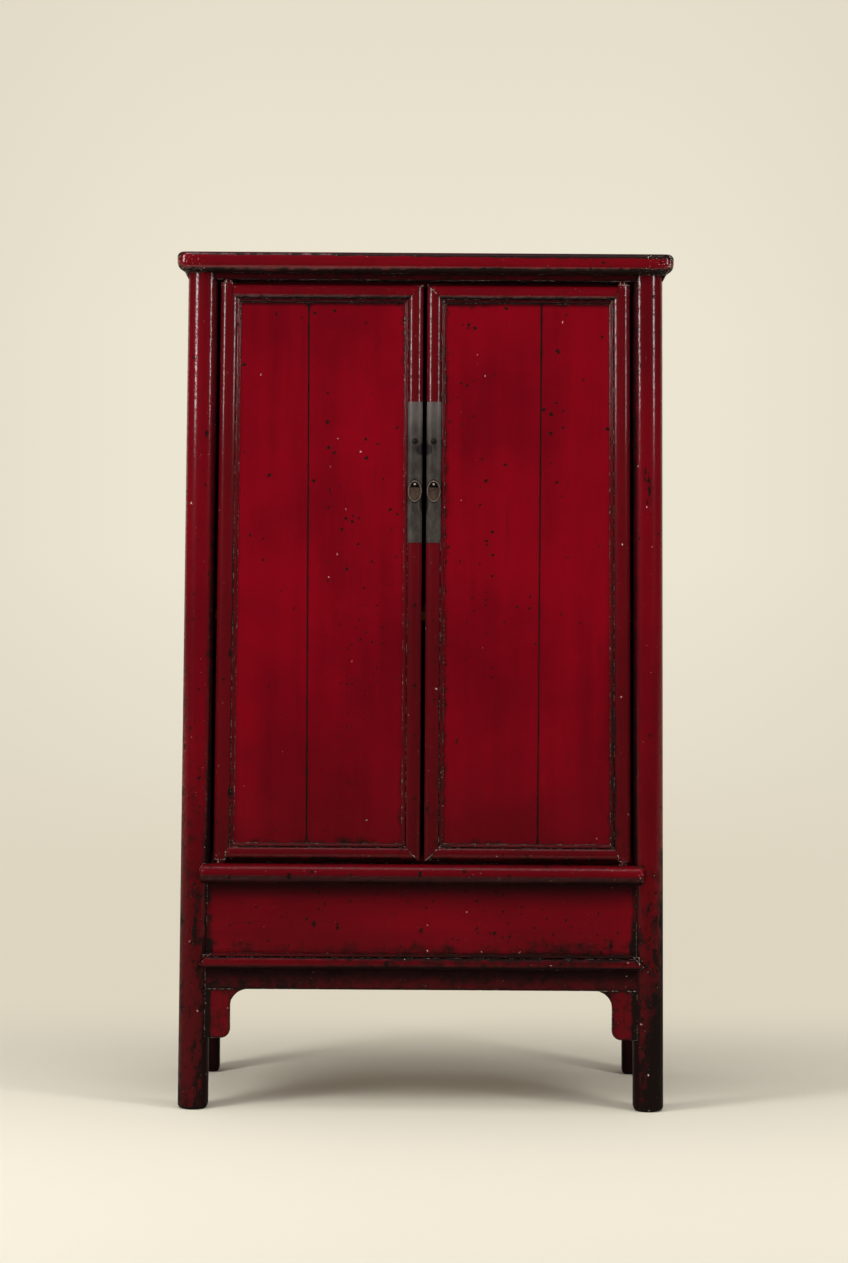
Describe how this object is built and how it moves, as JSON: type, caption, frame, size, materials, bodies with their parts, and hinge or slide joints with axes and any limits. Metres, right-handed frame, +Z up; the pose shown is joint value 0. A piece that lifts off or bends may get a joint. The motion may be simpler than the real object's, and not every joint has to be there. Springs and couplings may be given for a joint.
{
  "type": "two-door wedding cabinet",
  "caption": "Tall red lacquered two-door cabinet with splayed legs, round-edged cap, framed panel doors and iron pull plates.",
  "frame": {"origin": "on the floor, under the middle of the cabinet's bounding box", "axes": "+Z up, -Y to the front where the doors are, +X to the right as seen from the front"},
  "size_m": [1.033, 0.52, 1.8],
  "materials": {
    "red_lacquer": "worn gloss lacquer over wood",
    "dark_lacquer": "dull dark lacquer over wood",
    "bare_wood": "bare aged wood",
    "iron_plate": "dark aged iron sheet",
    "iron_stud": "dark forged iron",
    "bronze_pull": "dark aged bronze"
  },
  "bodies": {
    "case": {"back_left_post": "red_lacquer", "back_lower_panel": "dark_lacquer", "back_lower_rail": "dark_lacquer", "back_right_post": "red_lacquer", "back_top_rail": "dark_lacquer", "back_upper_panel": "dark_lacquer", "back_waist_rail": "dark_lacquer", "bottom_board": "bare_wood", "cap_back_rail": "red_lacquer", "cap_batten": "bare_wood", "cap_front_rail": "red_lacquer", "cap_left_rail": "red_lacquer", "cap_panel": "red_lacquer", "cap_right_rail": "red_lacquer", "front_apron": "red_lacquer", "front_left_bracket": "red_lacquer", "front_left_post": "red_lacquer", "front_lower_rail": "red_lacquer", "front_right_bracket": "red_lacquer", "front_right_post": "red_lacquer", "front_top_rail": "red_lacquer", "left_apron": "red_lacquer", "left_bottom_rail": "red_lacquer", "left_panel": "red_lacquer", "left_shelf_bearer": "bare_wood", "left_top_rail": "red_lacquer", "lid_bearer": "bare_wood", "lower_panel": "red_lacquer", "right_apron": "red_lacquer", "right_bottom_rail": "red_lacquer", "right_panel": "red_lacquer", "right_shelf_bearer": "bare_wood", "right_top_rail": "red_lacquer", "shelf": "bare_wood", "waist_rail": "red_lacquer"},
    "left_door": {"left_door_pivot_stile": "red_lacquer", "left_door_meeting_stile": "red_lacquer", "left_door_top_rail": "red_lacquer", "left_door_bottom_rail": "red_lacquer", "left_door_outer_board": "red_lacquer", "left_door_inner_board": "red_lacquer", "left_door_battens": "bare_wood", "left_face_plate": "iron_plate", "left_lock_stud": "iron_stud", "left_pull_stud": "iron_stud"},
    "left_pull": {"left_pull": "bronze_pull"},
    "left_floor_lid": {"left_floor_lid": "bare_wood"},
    "right_door": {"right_door_pivot_stile": "red_lacquer", "right_door_meeting_stile": "red_lacquer", "right_door_top_rail": "red_lacquer", "right_door_bottom_rail": "red_lacquer", "right_door_outer_board": "red_lacquer", "right_door_inner_board": "red_lacquer", "right_door_battens": "bare_wood", "right_face_plate": "iron_plate", "right_lock_stud": "iron_stud", "right_pull_stud": "iron_stud"},
    "right_pull": {"right_pull": "bronze_pull"},
    "right_floor_lid": {"right_floor_lid": "bare_wood"}
  },
  "joints": [
    {"name": "left_door_hinge", "type": "hinge", "parent": "case", "child": "left_door", "pos_m": [-0.41789, -0.21689, 1.13371], "axis": [-0.0102, -0.0102, -0.9999], "range_deg": [0, 105]},
    {"name": "left_pull_swing", "type": "hinge", "parent": "left_door", "child": "left_pull", "pos_m": [-0.01975, -0.23393, 1.32559], "axis": [-1, 0, 0], "range_deg": [0, 100]},
    {"name": "left_lid_lift", "type": "slide", "parent": "case", "child": "left_floor_lid", "axis": [0, 0, 1], "range_m": [0, 0.15]},
    {"name": "right_door_hinge", "type": "hinge", "parent": "case", "child": "right_door", "pos_m": [0.41789, -0.21689, 1.13371], "axis": [-0.0102, 0.0102, 0.9999], "range_deg": [0, 105]},
    {"name": "right_pull_swing", "type": "hinge", "parent": "right_door", "child": "right_pull", "pos_m": [0.01975, -0.23393, 1.32559], "axis": [-1, 0, 0], "range_deg": [0, 100]},
    {"name": "right_lid_lift", "type": "slide", "parent": "case", "child": "right_floor_lid", "axis": [0, 0, 1], "range_m": [0, 0.15]}
  ]
}
